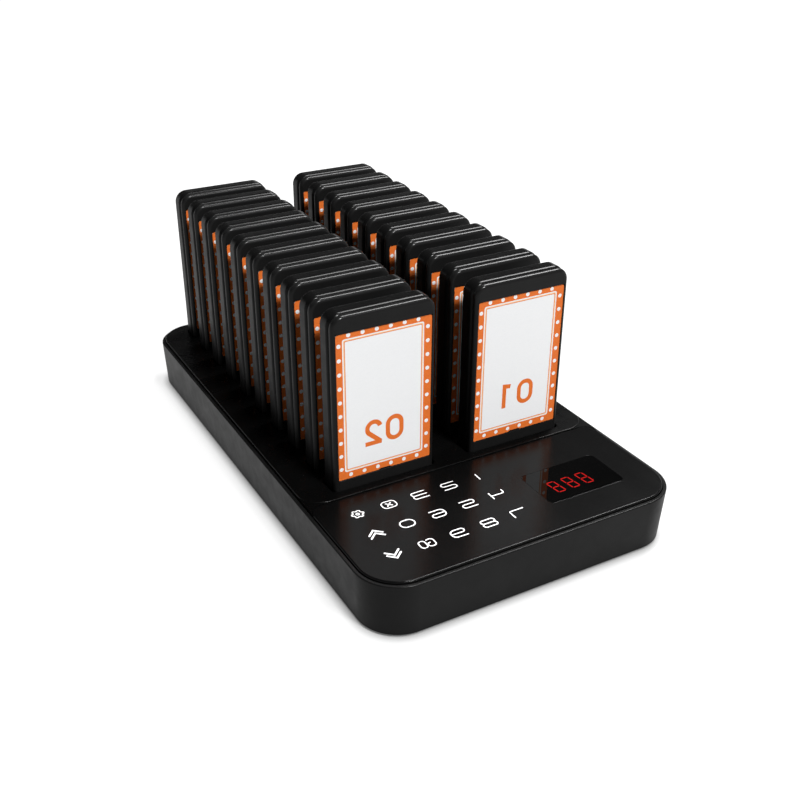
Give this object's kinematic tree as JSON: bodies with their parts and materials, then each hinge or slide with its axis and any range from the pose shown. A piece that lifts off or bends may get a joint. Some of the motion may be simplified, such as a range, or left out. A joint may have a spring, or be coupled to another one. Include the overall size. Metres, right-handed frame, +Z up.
{
  "type": "guest pager system",
  "caption": "Black restaurant call station: a low charging base with a flat touch keypad and red number display, and numbered pagers standing upright in rows of slots.",
  "frame": {"origin": "middle of the base's footprint, at the level that its feet stand on", "axes": "+Z up, +Y from the keypad end towards the rear with the power inlet, +X towards the display's side"},
  "size_m": [0.1624, 0.288, 0.1157],
  "materials": {
    "case_plastic": "satin black moulded ABS",
    "deck_plastic": "glossy black moulded ABS",
    "panel_acrylic": "smoked acrylic with a soft sheen",
    "window_acrylic": "polished smoked acrylic",
    "display_block": "potted display block with red segments",
    "circuit_board": "green solder mask",
    "spring_steel": "bright drawn steel",
    "plated_contact": "gold-plated",
    "sleeve_plastic": "black moulded",
    "foot_rubber": "matt black",
    "screw_steel": "zinc plated",
    "pager_shell_plastic": "glossy black moulded ABS",
    "pager_bezel_plastic": "glossy black moulded ABS",
    "printed_card": "printed card, orange border and white field",
    "battery_foil": "foil pouch"
  },
  "bodies": {
    "base": {"lower_case": "case_plastic", "top_deck": "deck_plastic", "keypad_panel": "panel_acrylic", "display_window": "window_acrylic", "led_display": "display_block", "control_board": "circuit_board", "touch_springs": "spring_steel", "charge_board_left": "circuit_board", "charge_board_right": "circuit_board", "slot_contacts": "plated_contact", "antenna": "sleeve_plastic", "dc_inlet": "sleeve_plastic", "feet": "foot_rubber", "case_screws": "screw_steel"},
    "pager_01": {"pager_01_rear_shell": "pager_shell_plastic", "pager_01_bezel": "pager_bezel_plastic", "pager_01_card": "printed_card", "pager_01_board": "circuit_board", "pager_01_battery": "battery_foil", "pager_01_vibration_motor": "spring_steel", "pager_01_contacts": "plated_contact", "pager_01_screws": "screw_steel"},
    "pager_02": {"pager_02_case": "pager_shell_plastic", "pager_02_card": "printed_card"},
    "pager_03": {"pager_03_case": "pager_shell_plastic", "pager_03_card": "printed_card"},
    "pager_04": {"pager_04_case": "pager_shell_plastic", "pager_04_card": "printed_card"},
    "pager_05": {"pager_05_case": "pager_shell_plastic", "pager_05_card": "printed_card"},
    "pager_06": {"pager_06_case": "pager_shell_plastic", "pager_06_card": "printed_card"},
    "pager_07": {"pager_07_case": "pager_shell_plastic", "pager_07_card": "printed_card"},
    "pager_08": {"pager_08_case": "pager_shell_plastic", "pager_08_card": "printed_card"},
    "pager_09": {"pager_09_case": "pager_shell_plastic", "pager_09_card": "printed_card"},
    "pager_10": {"pager_10_case": "pager_shell_plastic", "pager_10_card": "printed_card"},
    "pager_11": {"pager_11_case": "pager_shell_plastic", "pager_11_card": "printed_card"},
    "pager_12": {"pager_12_case": "pager_shell_plastic", "pager_12_card": "printed_card"},
    "pager_13": {"pager_13_case": "pager_shell_plastic", "pager_13_card": "printed_card"},
    "pager_14": {"pager_14_case": "pager_shell_plastic", "pager_14_card": "printed_card"},
    "pager_15": {"pager_15_case": "pager_shell_plastic", "pager_15_card": "printed_card"},
    "pager_16": {"pager_16_case": "pager_shell_plastic", "pager_16_card": "printed_card"},
    "pager_17": {"pager_17_case": "pager_shell_plastic", "pager_17_card": "printed_card"},
    "pager_18": {"pager_18_case": "pager_shell_plastic", "pager_18_card": "printed_card"},
    "pager_19": {"pager_19_case": "pager_shell_plastic", "pager_19_card": "printed_card"},
    "pager_20": {"pager_20_case": "pager_shell_plastic", "pager_20_card": "printed_card"}
  },
  "joints": [
    {"name": "pager_01_lift", "type": "slide", "parent": "base", "child": "pager_01", "axis": [0, 0, 1], "range_m": [0, 0.04]},
    {"name": "pager_02_lift", "type": "slide", "parent": "base", "child": "pager_02", "axis": [0, 0, 1], "range_m": [0, 0.04]},
    {"name": "pager_03_lift", "type": "slide", "parent": "base", "child": "pager_03", "axis": [0, 0, 1], "range_m": [0, 0.04]},
    {"name": "pager_04_lift", "type": "slide", "parent": "base", "child": "pager_04", "axis": [0, 0, 1], "range_m": [0, 0.04]},
    {"name": "pager_05_lift", "type": "slide", "parent": "base", "child": "pager_05", "axis": [0, 0, 1], "range_m": [0, 0.04]},
    {"name": "pager_06_lift", "type": "slide", "parent": "base", "child": "pager_06", "axis": [0, 0, 1], "range_m": [0, 0.04]},
    {"name": "pager_07_lift", "type": "slide", "parent": "base", "child": "pager_07", "axis": [0, 0, 1], "range_m": [0, 0.04]},
    {"name": "pager_08_lift", "type": "slide", "parent": "base", "child": "pager_08", "axis": [0, 0, 1], "range_m": [0, 0.04]},
    {"name": "pager_09_lift", "type": "slide", "parent": "base", "child": "pager_09", "axis": [0, 0, 1], "range_m": [0, 0.04]},
    {"name": "pager_10_lift", "type": "slide", "parent": "base", "child": "pager_10", "axis": [0, 0, 1], "range_m": [0, 0.04]},
    {"name": "pager_11_lift", "type": "slide", "parent": "base", "child": "pager_11", "axis": [0, 0, 1], "range_m": [0, 0.04]},
    {"name": "pager_12_lift", "type": "slide", "parent": "base", "child": "pager_12", "axis": [0, 0, 1], "range_m": [0, 0.04]},
    {"name": "pager_13_lift", "type": "slide", "parent": "base", "child": "pager_13", "axis": [0, 0, 1], "range_m": [0, 0.04]},
    {"name": "pager_14_lift", "type": "slide", "parent": "base", "child": "pager_14", "axis": [0, 0, 1], "range_m": [0, 0.04]},
    {"name": "pager_15_lift", "type": "slide", "parent": "base", "child": "pager_15", "axis": [0, 0, 1], "range_m": [0, 0.04]},
    {"name": "pager_16_lift", "type": "slide", "parent": "base", "child": "pager_16", "axis": [0, 0, 1], "range_m": [0, 0.04]},
    {"name": "pager_17_lift", "type": "slide", "parent": "base", "child": "pager_17", "axis": [0, 0, 1], "range_m": [0, 0.04]},
    {"name": "pager_18_lift", "type": "slide", "parent": "base", "child": "pager_18", "axis": [0, 0, 1], "range_m": [0, 0.04]},
    {"name": "pager_19_lift", "type": "slide", "parent": "base", "child": "pager_19", "axis": [0, 0, 1], "range_m": [0, 0.04]},
    {"name": "pager_20_lift", "type": "slide", "parent": "base", "child": "pager_20", "axis": [0, 0, 1], "range_m": [0, 0.04]}
  ]
}
